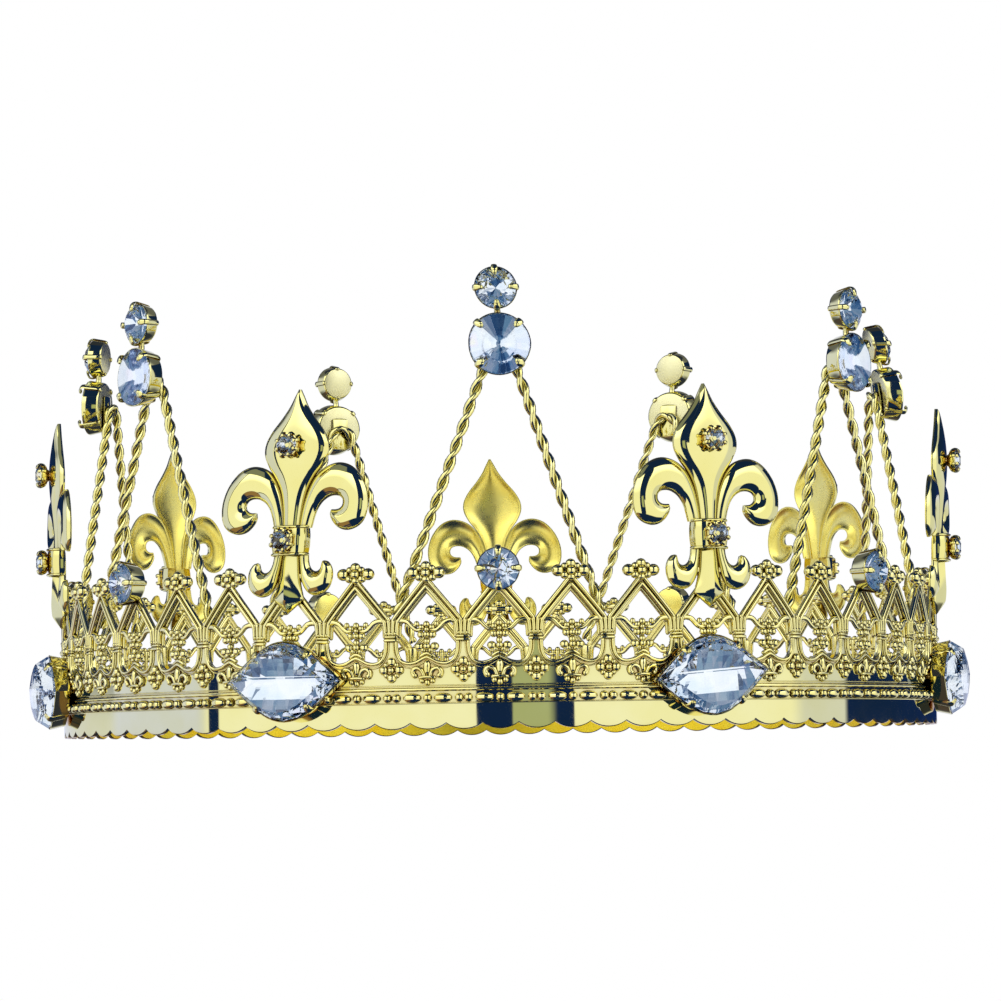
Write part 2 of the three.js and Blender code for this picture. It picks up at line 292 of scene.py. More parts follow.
def turned(me, degrees, tag, height=8.8):
    """A copy of a standing mesh, turned anticlockwise as seen from outside about its own middle."""
    out = me.copy()
    out.name = f"{me.name}_{tag}"
    out.transform(Matrix.Translation((0, 0, height * MM)) @ Matrix.Rotation(-math.radians(degrees), 4, "Y") @ Matrix.Translation((0, 0, -height * MM)))
    return out


def piece(name, me, replaces=(), angle=0.0, along=0.0):
    o = bpy.data.objects.new(name, me)
    bpy.context.scene.collection.objects.link(o)
    o.rotation_euler = (0, 0, angle)
    o.location = (along * MM * math.cos(angle), along * MM * math.sin(angle), 0)
    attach(o, "root")
    if replaces:
        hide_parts(*replaces)
    return o


# ------------------------------------------------------------------ materials
def new_material(name):
    mat = bpy.data.materials.new(name)
    mat.use_nodes = True
    nt = mat.node_tree
    nt.nodes.clear()
    out = nt.nodes.new("ShaderNodeOutputMaterial")
    return mat, nt, out


def ramp(nt, fac, stops):
    r = nt.nodes.new("ShaderNodeValToRGB")
    r.color_ramp.elements[0].position, r.color_ramp.elements[0].color = stops[0][0], (*stops[0][1], 1)
    r.color_ramp.elements[1].position, r.color_ramp.elements[1].color = stops[-1][0], (*stops[-1][1], 1)
    for pos, col in stops[1:-1]:
        e = r.color_ramp.elements.new(pos)
        e.color = (*col, 1)
    nt.links.new(fac, r.inputs[0])
    return r.outputs[0]


def noise(nt, coord, scale, detail=3.0, rough=0.5):
    n = nt.nodes.new("ShaderNodeTexNoise")
    n.inputs["Scale"].default_value = scale
    n.inputs["Detail"].default_value = detail
    n.inputs["Roughness"].default_value = rough
    nt.links.new(coord, n.inputs["Vector"])
    return n.outputs[0]


def remap(nt, value, lo, hi, a=0.3, b=0.7):
    m = nt.nodes.new("ShaderNodeMapRange")
    m.inputs["From Min"].default_value, m.inputs["From Max"].default_value = a, b
    m.inputs["To Min"].default_value, m.inputs["To Max"].default_value = lo, hi
    nt.links.new(value, m.inputs["Value"])
    return m.outputs[0]


def gold(name, light, deep, rough, wave=0.000012, wave_scale=170.0, painted_recess_shade=(0.30, 0.19, 0.05), reach=0.0011):
    """Polished plate: the colour and gloss wander a little, the surface is slightly wavy from the stamping,
    and the recesses are painted darker: an occlusion mask mixes painted shade into the colour there."""
    mat, nt, out = new_material(name)
    tc = nt.nodes.new("ShaderNodeTexCoord").outputs["Object"]
    bsdf = nt.nodes.new("ShaderNodeBsdfPrincipled")
    bsdf.inputs["Metallic"].default_value = 1.0
    plate = ramp(nt, noise(nt, tc, 120.0, 4.0), [(0.3, deep), (0.7, light)])
    # painted shade: the occlusion below darkens the colour towards the painted recess shade in recesses and between
    # parts
    ao = nt.nodes.new("ShaderNodeAmbientOcclusion")
    ao.samples = 4
    ao.inputs["Distance"].default_value = reach
    depth = nt.nodes.new("ShaderNodeMapRange")
    depth.inputs["From Min"].default_value, depth.inputs["From Max"].default_value = 0.22, 0.78
    nt.links.new(ao.outputs["AO"], depth.inputs["Value"])
    mix = nt.nodes.new("ShaderNodeMix")
    mix.data_type = "RGBA"
    nt.links.new(depth.outputs[0], mix.inputs[0])
    mix.inputs[6].default_value = (*painted_recess_shade, 1)
    nt.links.new(plate, mix.inputs[7])
    nt.links.new(mix.outputs[2], bsdf.inputs["Base Color"])
    nt.links.new(remap(nt, noise(nt, tc, 420.0, 5.0, 0.6), rough[0], rough[1]), bsdf.inputs["Roughness"])
    bump = nt.nodes.new("ShaderNodeBump")
    bump.inputs["Strength"].default_value = 1.0
    bump.inputs["Distance"].default_value = wave
    nt.links.new(noise(nt, tc, wave_scale, 1.0), bump.inputs["Height"])
    nt.links.new(bump.outputs[0], bsdf.inputs["Normal"])
    nt.links.new(bsdf.outputs[0], out.inputs[0])
    return mat


# Each plate's colour after its roughness is its painted recess shade (GOLD and the satin plate take the default); the
# claw cups' orange one stands in for gold-on-gold reflection in their shadowed walls.
GOLD = gold("polished_gold_plate", (0.92, 0.875, 0.40), (0.88, 0.815, 0.30), (0.03, 0.07))
GOLD_FACE = gold("gallery_gold_plate", (0.89, 0.86, 0.46), (0.86, 0.82, 0.38), (0.02, 0.04), 0.000006, 110.0, (0.46, 0.27, 0.07), 0.0009)
GOLD_CAST = gold("cast_gold_plate", (1.0, 0.93, 0.43), (0.96, 0.86, 0.31), (0.04, 0.09), 0.00001, 260.0, (0.14, 0.08, 0.025), 0.0012)
GOLD_CUP = gold("claw_cup_plate", (0.96, 0.88, 0.37), (0.90, 0.79, 0.26), (0.05, 0.10), 0.00001, 260.0, (0.52, 0.27, 0.05), 0.0013)
GOLD_SATIN = gold("satin_gold_plate", (0.93, 0.90, 0.56), (0.90, 0.85, 0.44), (0.34, 0.42), 0.00001, 260.0)
# painted reflection: the inside of the band is a deep amber copy of the plate, standing in for the light the opposite
# gold wall throws into it
GOLD_INSIDE_PAINTED_REFLECTION = gold("gold_plate_inside_band", (1.0, 0.84, 0.07), (1.0, 0.71, 0.03), (0.34, 0.44), 0.00003, 180.0, (0.5, 0.3, 0.03))
# painted reflection and shade: the backs of the fleurs, their strips and the arch cups' backs get a brighter, deeper
# yellow copy of the plate, standing in for the gold-on-gold light and shade inside the ring
GOLD_BACK_PAINTED_LIGHT = gold("gold_plate_behind_painted_light", (1.0, 0.92, 0.28), (1.0, 0.83, 0.17), (0.24, 0.32), 0.00001, 200.0, (0.45, 0.27, 0.03), 0.002)
GOLD_WIRE = gold("gold_wire_plate", (1.0, 0.94, 0.43), (0.97, 0.88, 0.31), (0.05, 0.10), 0.000006, 900.0, (0.12, 0.07, 0.02), 0.0011)


def crystal(name, ior=1.56):
    """Clear cut glass: faint tint, with a trace of haze."""
    mat, nt, out = new_material(name)
    tc = nt.nodes.new("ShaderNodeTexCoord").outputs["Object"]
    bsdf = nt.nodes.new("ShaderNodeBsdfPrincipled")
    bsdf.inputs["Transmission Weight"].default_value = 1.0
    bsdf.inputs["IOR"].default_value = ior
    nt.links.new(ramp(nt, noise(nt, tc, 300.0, 2.0), [(0.35, (0.93, 0.965, 1.0)), (0.65, (0.985, 0.99, 1.0))]), bsdf.inputs["Base Color"])
    nt.links.new(remap(nt, noise(nt, tc, 900.0, 3.0), 0.0, 0.012), bsdf.inputs["Roughness"])
    nt.links.new(bsdf.outputs[0], out.inputs[0])
    return mat


SILVER = [(0.3, (0.80, 0.88, 0.98)), (0.46, (0.93, 0.95, 0.98)), (0.6, (0.86, 0.90, 0.99)), (0.68, (0.93, 0.88, 0.97)), (0.74, (0.98, 0.95, 0.82))]


def foil(name, stops=SILVER, scale=230.0):
    """Silver foil behind the stone, a little blue, with a faint play of colour."""
    mat, nt, out = new_material(name)
    tc = nt.nodes.new("ShaderNodeTexCoord").outputs["Object"]
    bsdf = nt.nodes.new("ShaderNodeBsdfPrincipled")
    bsdf.inputs["Metallic"].default_value = 1.0
    nt.links.new(ramp(nt, noise(nt, tc, scale, 1.0), stops), bsdf.inputs["Base Color"])
    nt.links.new(remap(nt, noise(nt, tc, 700.0, 2.0), 0.01, 0.04), bsdf.inputs["Roughness"])
    nt.links.new(bsdf.outputs[0], out.inputs[0])
    return mat


CRYSTAL = crystal("cut_crystal")
FOIL = foil("silver_foil")
FOIL_SMALL = foil("worn_foil", [(0.34, (0.10, 0.08, 0.04)), (0.42, (0.66, 0.74, 0.88)), (0.52, (0.90, 0.93, 0.98)), (0.6, (0.85, 0.80, 0.62)), (0.68, (0.55, 0.40, 0.12))], 700.0)

# ------------------------------------------------------------------ gallery band
SHEET = 0.9
XS = [0, 0.4, 0.8, 1.2, 1.6, 2.0, 2.4, 2.8, 3.0, U / 2, 3.4, 3.8, 4.2, 4.5, 4.7, 4.9, 5.05, 5.2, 5.4, 5.8, 6.1, U]
WAVE = [(0, 12.76), (0.8, 12.42), (1.8, 11.88), (3.0, 11.62), (4.0, 11.8), (4.75, 12.35), (5.2, 13.3), (5.38, 14.4), (5.42, 15.3)]


def top_edge(u):
    return np.interp(abs(u), [w[0] for w in WAVE] + [5.45, U], [w[1] for w in WAVE] + [15.3, 15.3])


def rim_edge(u):
    r = ((U / 2) ** 2 + 1.05**2) / 2.1
    d = np.minimum(abs(u), U - abs(u))
    return r - math.sqrt(r * r - d * d)


def gallery_strip():
    us = np.array([-x for x in XS[:0:-1]] + XS)
    s = Soup()
    rows = []
    for u in us:
        lo, hi = rim_edge(u), top_edge(u)
        front = [(lo, -0.16), (lo + 0.16, 0.0), (4.3, 0.0), (7.6, 0.0), (hi - 0.1, 0.0), (hi, -0.1)]
        back = [(hi, -SHEET + 0.1), (hi - 0.1, -SHEET), (4.3, -SHEET), (lo + 0.16, -SHEET), (lo, -SHEET + 0.16)]
        rows.append([[u, z, w] for z, w in front + back])
    rows = np.array(rows)
    n, c = rows.shape[:2]
    f = quads(n, c, True)
    s.add((rows.reshape(-1, 3), f), np.where((f[:, 0] % c >= 6) & (f[:, 0] % c <= 9), 1, 0))
    return s


def capsule(x0, x1, z, r, w, b=None):
    return tube([(x0, z, w), ((x0 + x1) / 2, z, w), (x1, z, w)], r, b or r)


def gallery_ribs():
    """The rib along the wavy edge, up both sides of each post."""
    s = Soup()
    wave = smooth([(x, z - 0.12, 0.12) for x, z in WAVE], 3)
    wave = np.vstack([wave[:0:-1] * [-1, 1, 1], wave])
    s.add(tube(wave, 0.33, 0.42, sides=8))
    low = smooth([(x * 0.98, z - 0.86, 0.03) for x, z in WAVE[:6]] + [(5.35, 12.4, 0.03), (5.85, 13.6, 0.03), (5.95, 15.2, 0.03)], 3)
    low = np.vstack([low[:0:-1] * [-1, 1, 1], low])
    s.add(tube(low, 0.15, 0.18, sides=6))
    return s


def gallery_beading():
    s = Soup()
    z = 5.5
    s.add(ball((0, z, 0.25), (0.76, 0.8, 0.85), 12, 8, True))
    for sx in (-1, 1):
        s.add(ball((sx * 2.72, z, 0.25), (1.62, 0.86, 0.85), 18, 9, True))
        s.add(ball((sx * (U - 0.8), z, 0.25), (0.78, 0.8, 0.85), 12, 8, True))
    return s


def relief_fleur(z0):
    """The small pressed fleur under each column, about 5.8 wide and 4.4 high."""
    s = Soup()
    s.add(ball((0, z0 + 3.05, 0.1), (0.72, 1.45, 0.7), 12, 7, True))
    s.add(ball((0, z0 + 0.45, 0.05), (0.55, 0.65, 0.6), 8, 5, True))
    s.add(tube(smooth([(-1.25, z0 + 1.35, 0.2), (0, z0 + 1.45, 0.3), (1.25, z0 + 1.35, 0.2)], 3), 0.34, 0.5, sides=8))
    for sx in (-1, 1):
        path = smooth([(sx * 0.5, z0 + 1.6, 0.15), (sx * 1.0, z0 + 2.65, 0.28), (sx * 1.9, z0 + 3.0, 0.3), (sx * 2.5, z0 + 2.4, 0.25), (sx * 2.3, z0 + 1.75, 0.2)], 4)
        s.add(tube(path, np.linspace(0.36, 0.5, len(path)), 0.55, sides=8))
        s.add(ball((sx * 2.2, z0 + 1.72, 0.2), 0.56, 8, 5, True))
        s.add(ball((sx * 0.95, z0 + 0.75, 0.1), (0.5, 0.5, 0.5), 8, 5, True))
    return s


def quatrefoil(s, x, z, r, off, centre, w=0.0, half=True, corner=0.0):
    for dx, dz in ((1, 0), (-1, 0), (0, 1), (0, -1)):
        s.add(ball((x + dx * off, z + dz * off, w), (r, r, r * 0.85), 10, 6, half))
    if corner:
        for dx, dz in ((1, 1), (-1, 1), (1, -1), (-1, -1)):
            s.add(ball((x + dx * off * 0.66, z + dz * off * 0.66, w), corner, 8, 5, half))
    s.add(ball((x, z, w + 0.3), centre, 8, 5, half))


def gallery_relief():
    s = relief_fleur(7.7)
    quatrefoil(s, U, 10.4, 0.86, 1.42, 0.6, 0.1, True, 0.5)
    return s


def gallery_arches():
    """Posts, collars, and the double-ribbed struts that meet at the top of each arch."""
    s = Soup()
    high = [(0.0, 26.3), (0.5, 25.9), (1.75, 24.4), (5.6, 19.7), (5.92, 18.95), (6.02, 18.0), (6.05, 16.6)]
    low = [(0.0, 24.95), (0.36, 24.6), (1.5, 23.3), (4.85, 19.25), (5.2, 18.5), (5.32, 17.6), (5.36, 16.6)]
    for sx in (-1, 1):
        for line in (high, low):
            s.add(tube(smooth([(sx * x, z, -0.12) for x, z in line], 4), 0.37, 0.5, sides=10))
        # a web behind each lower rib, set deep so that the painted recess shade turns it dark brown
        s.add(tube(smooth([(sx * max(x - 0.32, 0), z - 0.32, -0.75) for x, z in low], 4), 0.4, 0.36, sides=8))
        mid = [((a[0] + b[0]) / 2, (a[1] + b[1]) / 2) for a, b in zip(high, low)]
        s.add(tube(smooth([(sx * x, z, -0.5) for x, z in mid], 3), 0.45, 0.2, sides=8))
    # post and collar, at the right end of the arch
    s.add(tube([(U, 12.6, -0.45), (U, 14.5, -0.45), (U, 16.8, -0.45), (U, 18.9, -0.45)], 1.0, 0.42, sides=10))
    s.add(capsule(U - 1.02, U + 1.02, 15.62, 0.36, 0.02, 0.5))
    s.add(capsule(U - 0.95, U + 0.95, 16.22, 0.27, 0.0, 0.4))
    for dx in (-0.82, 0.0, 0.82):
        s.add(ball((U + dx, 16.78, 0.05), (0.42, 0.38, 0.5), 8, 6))
    return s


def gallery_columns():
    """The column of two small flowers under each arch, and the cusped arms from its head."""
    s = Soup()
    s.add(tube([(0, 12.4, -0.35), (0, 14.4, -0.35), (0, 16.4, -0.35), (0, 17.9, -0.35)], 0.5, 0.4, sides=8))
    s.add(tube(smooth([(-1.15, 12.75, -0.15), (0, 13.3, -0.05), (1.15, 12.75, -0.15)], 3), 0.34, 0.42, sides=8))
    for sx in (-1, 1):
        s.add(ball((sx * 1.36, 14.45, -0.1), (0.84, 0.78, 0.75), 12, 8))
        s.add(ball((sx * 0.66, 13.85, -0.1), 0.56, 8, 6))
        s.add(ball((sx * 1.02, 16.5, -0.1), (0.72, 0.68, 0.68)))
        s.add(ball((sx * 0.9, 17.85, -0.05), (0.6, 0.56, 0.56), 8, 6))
        arm = smooth([(sx * 0.8, 17.45, -0.2), (sx * 1.7, 17.35, -0.12), (sx * 2.5, 17.95, -0.12), (sx * 3.3, 18.75, -0.12), (sx * 4.3, 19.05, -0.18), (sx * 5.3, 18.9, -0.25)], 3)
        s.add(tube(arm, np.linspace(0.42, 0.52, len(arm)), 0.46, sides=8))
        s.add(ball((sx * 1.75, 18.4, -0.05), (0.52, 0.58, 0.5), 8, 6))
        s.add(tube(smooth([(sx * 2.4, 17.9, -0.12), (sx * 2.05, 18.2, -0.06), (sx * 1.75, 18.4, -0.05)], 2), 0.32, 0.34, sides=6))
    s.add(ball((0, 15.35, -0.05), 0.62, 10, 7))
    s.add(ball((0, 14.5, 0.25), 0.64, 10, 7))
    s.add(ball((0, 16.55, 0.22), 0.58, 10, 7))
    s.add(ball((0, 17.45, -0.05), 0.52, 8, 6))
    s.add(ball((0, 18.35, 0.02), 0.6, 10, 7))
    return s


def gallery_knob():
    """The flower of beads on the top of an arch."""
    s = Soup()
    for sx in (-1, 1):
        s.add(ball((sx * 2.3, 27.35, -0.15), (1.15, 1.1, 1.1), 14, 9))
        s.add(ball((sx * 1.15, 26.55, -0.05), (0.8, 0.75, 0.8), 10, 7))
        s.add(ball((sx * 1.05, 28.1, -0.15), (0.7, 0.66, 0.7), 10, 7))
    s.add(ball((0, 28.55, -0.1), (0.92, 0.88, 0.9), 12, 8))
    s.add(ball((0, 27.3, 0.35), (0.86, 0.84, 0.86), 12, 8))
    s.add(capsule(-1.4, 1.4, 27.4, 0.7, -0.45, 0.5))
    s.add(ball((0, 26.2, -0.05), (0.86, 0.7, 0.75), 10, 7))
    return s


def rails():
    s = Soup()
    a = np.arange(337) / 336 * 2 * math.pi
    for z, w, r in ((4.55, 0.0, 0.13), (6.98, -0.02, 0.36), (7.62, 0.0, 0.13)):
        t = np.arange(10) / 10 * 2 * math.pi
        ring = np.stack([np.stack([(R + w + r * np.cos(t)) * math.sin(x), -(R + w + r * np.cos(t)) * math.cos(x), z + r * np.sin(t)], -1) for x in a[:-1]])
        v = ring.reshape(-1, 3)
        f = quads(337, 10, True) % (336 * 10)
        s.add((v, f))
    return s


others = [k for k in range(ARCHES) if k % 6]
# the band's inner face takes the painted amber reflection plate
band = piece("gallery_strip", mesh_of("gallery_strip", gallery_strip(), [GOLD_FACE, GOLD_INSIDE_PAINTED_REFLECTION], 35, True), ["gallery_band"])
piece("gallery_edge_ribs", mesh_of("gallery_edge_ribs", gallery_ribs(), [GOLD_CAST], None, True))
piece("gallery_beading", mesh_of("gallery_beading", gallery_beading(), [GOLD_CAST], None, True))
piece("gallery_relief", mesh_of("gallery_relief", gallery_relief(), [GOLD_CAST], None, True))
piece("gallery_arches", mesh_of("gallery_arches", gallery_arches(), [GOLD_CAST], None, True))
piece("gallery_columns", mesh_of("gallery_columns", gallery_columns(), [GOLD_CAST], None, True))
piece("gallery_knobs", mesh_of("gallery_knobs", gallery_knob(), [GOLD_CAST], None, others))
piece("gallery_rails", mesh_of("gallery_rails", rails(), [GOLD_CAST], None))

# ------------------------------------------------------------------ cups and stones
RIVOLI = dict(r=5.35, y=66.6, back=82.7, girdle=85.9)
TOP = dict(r=3.62, y=76.5, back=82.9, girdle=85.5)
ARCH = dict(r=3.62, y=27.7, back=84.7, girdle=88.0)


def claw_cup(s, c, turn, claws=4, width=0.52):
    """A drum with a flat back, and claws that run up its wall and fold over the stone's edge."""
    r, b, g, y = c["r"], c["back"], c["girdle"], c["y"]
    out = r + 0.16
    drum = lathe(
        [
            (0, b), (0.84 * r, b), (0.9 * r, b + 0.12), (0.93 * r, b + 0.4), (out - 0.05, g - 0.35), (out, g - 0.1), (out - 0.04, g),
            (out - 0.2, g), (out - 0.24, g - 0.1), (0.9 * r - 0.2, b + 0.5), (0, b + 0.5),
        ],
        (0, y, 0), 48,
    )
    s.add(drum, np.where(np.arange(len(drum[1])) < 48, 1, 0))
    for k in range(claws):
        a = turn + k * 2 * math.pi / claws
        d, t = np.array([math.cos(a), math.sin(a), 0]), np.array([-math.sin(a), math.cos(a), 0])
        line = [(0.86 * r, b - 0.08), (0.95 * r, b + 0.25), (out + 0.06, g - 0.5), (out + 0.16, g + 0.15), (out - 0.02, g + 0.75), (r - 0.5, g + 1.12), (r - 0.95, g + 1.16)]
        path = smooth([d * q + [0, y, z] for q, z in line], 4)
        n = len(path)
        wide = np.interp(np.arange(n) / (n - 1), [0, 0.55, 0.8, 1.0], [width * 0.9, width, width * 1.08, width * 0.85])
        s.add(tube(path, 0.2, wide, across=t, sides=10))
        s.add(ball(d * (r - 0.95) + [0, y, g + 1.12], (0.5, 0.5, 0.34), 10, 6))
    return s


def cone_stone(c, sides, front, culet):
    """A pointed stone: long facets run from the girdle to the point in front, and to the culet behind."""
    r, g, y = c["r"], c["girdle"], c["y"]
    s = Soup()
    a = (np.arange(sides) + 0.5) / sides * 2 * math.pi
    ring = lambda q, z, off=0.0: np.stack([q * np.cos(a + off), q * np.sin(a + off), np.full(sides, z)], -1)
    eye = 0.09
    half = math.pi / sides
    v = np.vstack(
        [
            ring(r * eye, g + front), ring(r * 0.965, g + 0.16, half), ring(r, g + 0.06), ring(r, g - 0.05),
            ring(r * 0.965, g - 0.13, half), ring(r * 0.1, culet), [[0, 0, g + front + 0.05]], [[0, 0, culet - 0.05]],
        ]
    ) + [0, y, 0]
    n = sides
    f, m = [], []
    for j in range(n):
        k = (j + 1) % n
        f.append([6 * n, j, k, -1]); m.append(0)  # eye
        f.append([j, n + j, k, -1]); m.append(0)  # long facets
        f.append([k, n + j, n + k, -1]); m.append(0)
        f.append([n + j, 2 * n + j, 2 * n + k, -1]); m.append(0)
        f.append([n + j, 2 * n + k, n + k, -1]); m.append(0)
        f.append([2 * n + j, 3 * n + j, 3 * n + k, 2 * n + k]); m.append(0)
        f.append([3 * n + j, 4 * n + j, 3 * n + k, -1]); m.append(1)
        f.append([3 * n + k, 4 * n + j, 4 * n + k, -1]); m.append(1)
        f.append([4 * n + j, 5 * n + j, 5 * n + k, -1]); m.append(1)
        f.append([4 * n + j, 5 * n + k, 4 * n + k, -1]); m.append(1)
        f.append([5 * n + j, 6 * n + 1, 5 * n + k, -1]); m.append(1)
    s.add((v, np.array(f)), m, False)
    return s


def brilliant(c, crown=1.5, culet=None, turn=0.0, table=0.56):
    """A round brilliant: table, stars, kites and upper halves in front; mains and lower halves, foiled, behind."""
    r, g, y = c["r"], c["girdle"], c["y"]
    culet = g - 0.44 * 2 * r * 0.95 if culet is None else culet
    s = Soup()
    k8 = np.arange(8) / 8 * 2 * math.pi + turn
    k16 = np.arange(16) / 16 * 2 * math.pi + turn
    P = lambda q, a, z: [q * math.cos(a), q * math.sin(a) + y, z]
    v = [[0, y, g + crown]]
    T = len(v); v += [P(r * table, a, g + crown) for a in k8]  # table corners
    S = len(v); v += [P(r * 0.77, a + math.pi / 8, g + crown * 0.58) for a in k8]  # star tips, between the corners
    G = len(v); v += [P(r, a, g + 0.12) for a in k16]
    H = len(v); v += [P(r, a, g - 0.06) for a in k16]
    L = len(v); v += [P(r * 0.36, a, g - (g - culet) * 0.68) for a in k8]
    v.append([0, y, culet])
    C = len(v) - 1
    f, m = [], []

    def tri(a, b, cc, mat=0):
        f.append([a, b, cc, -1]); m.append(mat)

    for j in range(8):
        n = (j + 1) % 8
        tri(0, T + j, T + n)
        tri(T + j, S + j, T + n)  # star
        p = (j - 1) % 8
        f.append([T + j, S + p, G + 2 * j, S + j]); m.append(0)  # kite
        tri(S + j, G + 2 * j, G + 2 * j + 1)
        tri(S + j, G + 2 * j + 1, G + (2 * j + 2) % 16)
        f.append([C, L + j, H + (2 * j + 1) % 16, L + n]); m.append(1)  # pavilion main
        tri(L + j, H + 2 * j, H + 2 * j + 1, 1)
        tri(L + n, H + 2 * j + 1, H + (2 * j + 2) % 16, 1)
    for j in range(16):
        n = (j + 1) % 16
        f.append([G + j, H + j, H + n, G + n]); m.append(0)
    s.add((np.array(v), np.array(f)), m, False)
    return s


# ------------------------------------------------------------------ spires
def strand(points, phase, rope=0.53, pitch=6.9, per_turn=20):
    p = smooth(points, 24)
    d = np.r_[0, np.cumsum(np.linalg.norm(np.diff(p, axis=0), axis=1))]
    n = int(d[-1] / pitch * per_turn)
    q = np.linspace(0, d[-1], n + 1)
    p = np.stack([np.interp(q, d, p[:, i]) for i in range(3)], -1)
    t = np.gradient(p, axis=0)
    t /= np.linalg.norm(t, axis=1)[:, None]
    b = np.broadcast_to([0, 0, 1.0], p.shape)
    side = np.cross(b, t)
    side /= np.linalg.norm(side, axis=1)[:, None]
    up = np.cross(t, side)
    phi = (q / pitch * 2 * math.pi + phase)[:, None]
    out = np.cos(phi) * side + np.sin(phi) * up
    line = p + 0.5 * out
    tt = np.gradient(line, axis=0)
    tt /= np.linalg.norm(tt, axis=1)[:, None]
    return tube(line, rope, rope, across=np.cross(tt, out), sides=10)


LEG = [(17.9, 20.6, 80.6), (15.4, 27.6, 80.75), (12.6, 35.4, 80.9), (9.8, 43.3, 81.0), (7.0, 51.2, 81.05), (4.3, 58.9, 81.1), (3.0, 62.4, 81.1)]
WIRE = [(-x, y, z) for x, y, z in LEG] + [(-1.9, 65.2, 81.1), (0, 66.4, 81.1), (1.9, 65.2, 81.1)] + [(x, y, z) for x, y, z in LEG[::-1]]


def stood(me):
    """Turns a mesh drawn face-on (right, up, out) to stand at the front of the crown."""
    me.transform(Matrix(((1, 0, 0, 0), (0, 0, -1, 0), (0, 1, 0, 0), (0, 0, 0, 1))))
    return me


strand_a, strand_b = (stood(mesh_of(f"wire_strand_{tag}", Soup().add(strand(WIRE, 0.4 + turn)), [GOLD_WIRE], None)) for tag, turn in (("a", 0), ("b", math.pi)))
big_cup = claw_cup(Soup(), RIVOLI, math.pi / 4, width=0.62)
small_cup = claw_cup(Soup(), TOP, 0.0)
stem = Soup()
stem.add(lathe([(0, -1.9), (0.85, -1.9), (0.95, -1.2), (0.6, -0.7), (0.55, 0.6), (0.9, 1.1), (0.95, 1.7), (0, 1.8)], (0, 0, 0), 16))
sv, sf, sm, ss = stem.arrays()
stem = Soup().add((np.stack([sv[:, 0], sv[:, 2] + 72.35, sv[:, 1] + 84.3], -1), sf))
stem.add(tube([(0, 62.2, 82.35), (0, 65.0, 82.3), (0, 68.5, 82.35)], 1.9, 0.32, sides=10))  # solder pad between the wire and the cup
m_big, m_small, m_stem = (stood(mesh_of(n, s, [GOLD, GOLD_SATIN], 42)) for n, s in (("cup_big", big_cup), ("cup_small", small_cup), ("cup_stem", stem)))
m_rivoli = stood(mesh_of("stone_rivoli", cone_stone(RIVOLI, 24, 1.0, 84.78), [CRYSTAL, FOIL], None))
m_top = stood(mesh_of("stone_top", brilliant(TOP, 1.35, 83.5), [CRYSTAL, FOIL], None))
# the arch cup's flat back takes the painted reflection and shade plate
m_arch_cup = stood(mesh_of("cup_arch", claw_cup(Soup(), ARCH, 0.0), [GOLD, GOLD_BACK_PAINTED_LIGHT], 42))
m_arch = stood(mesh_of("stone_arch", brilliant(ARCH, 1.35, 85.3, 0.2), [CRYSTAL, FOIL], None))
for i in range(STATIONS):
    a, n = i * STATION, i + 1
    stand = lambda me: leaned(me, spire_lean(i), n)
    piece(f"spire_{n}_wire_strand_a", stand(strand_a), [f"spire_wire_{n}"], a)
    piece(f"spire_{n}_wire_strand_b", stand(strand_b), (), a)
    piece(f"spire_{n}_big_cup", stand(m_big), [f"spire_claw_cups_{n}"], a)
    piece(f"spire_{n}_small_cup", stand(m_small), (), a)
    piece(f"spire_{n}_stem", stand(m_stem), (), a)
    piece(f"spire_{n}_rivoli", stand(m_rivoli), [f"spire_rivoli_stone_{n}"], a)
    piece(f"spire_{n}_top_chaton", stand(m_top), [f"spire_top_stone_{n}"], a)
    piece(f"arch_cup_{n}", m_arch_cup, (), a)
    piece(f"arch_chaton_{n}", m_arch, [f"arch_stone_{n}"], a)

# ------------------------------------------------------------------ fleurs-de-lis
FB = 85.4  # back of the fleur's sheet, out from the crown's axis
LEAF = [  # half-width, height above the collar's foot, and height of the pressing, from the neck to the tip
    (1.75, 35.6, 1.0), (1.85, 37.6, 1.15), (2.15, 40.2, 1.3), (2.75, 42.6, 1.5), (3.9, 44.8, 1.75), (5.35, 46.8, 2.0), (6.3, 48.9, 2.1),
    (6.2, 50.9, 2.05), (5.1, 53.0, 1.8), (3.3, 55.2, 1.4), (1.85, 57.2, 0.95), (0.9, 59.0, 0.6), (0.2, 60.3, 0.2),
]
PETAL_OUT = [
    (1.2, 35.8), (1.7, 39.0), (2.6, 42.2), (4.1, 45.0), (6.2, 46.6), (8.8, 47.1), (11.3, 46.2), (13.3, 44.0), (14.4, 41.4), (14.6, 39.0),
    (14.1, 37.0), (12.9, 35.75), (11.1, 35.15), (9.4, 35.45), (8.1, 36.5), (7.4, 37.7), (7.5, 38.8),
]
PETAL_IN = [
    (3.75, 35.8), (4.2, 37.6), (4.75, 39.1), (5.5, 40.2), (6.4, 40.9), (7.3, 41.25), (8.3, 41.3), (9.15, 41.05), (9.6, 40.55), (9.7, 40.0),
    (9.6, 39.55), (9.35, 39.25), (9.05, 39.05), (8.75, 38.95), (8.45, 38.9), (8.1, 38.88), (7.75, 38.9),
]
PETAL_H = [0.9, 1.05, 1.2, 1.4, 1.6, 1.75, 1.8, 1.8, 1.8, 1.75, 1.7, 1.6, 1.45, 1.25, 1.0, 0.7, 0.25]
CURL_OUT = [(1.6, 31.2), (2.0, 28.4), (2.6, 26.0), (3.8, 24.4), (5.3, 23.85), (6.9, 24.3), (8.05, 25.5), (8.45, 27.1), (8.25, 28.6), (7.5, 29.7), (6.75, 30.0)]
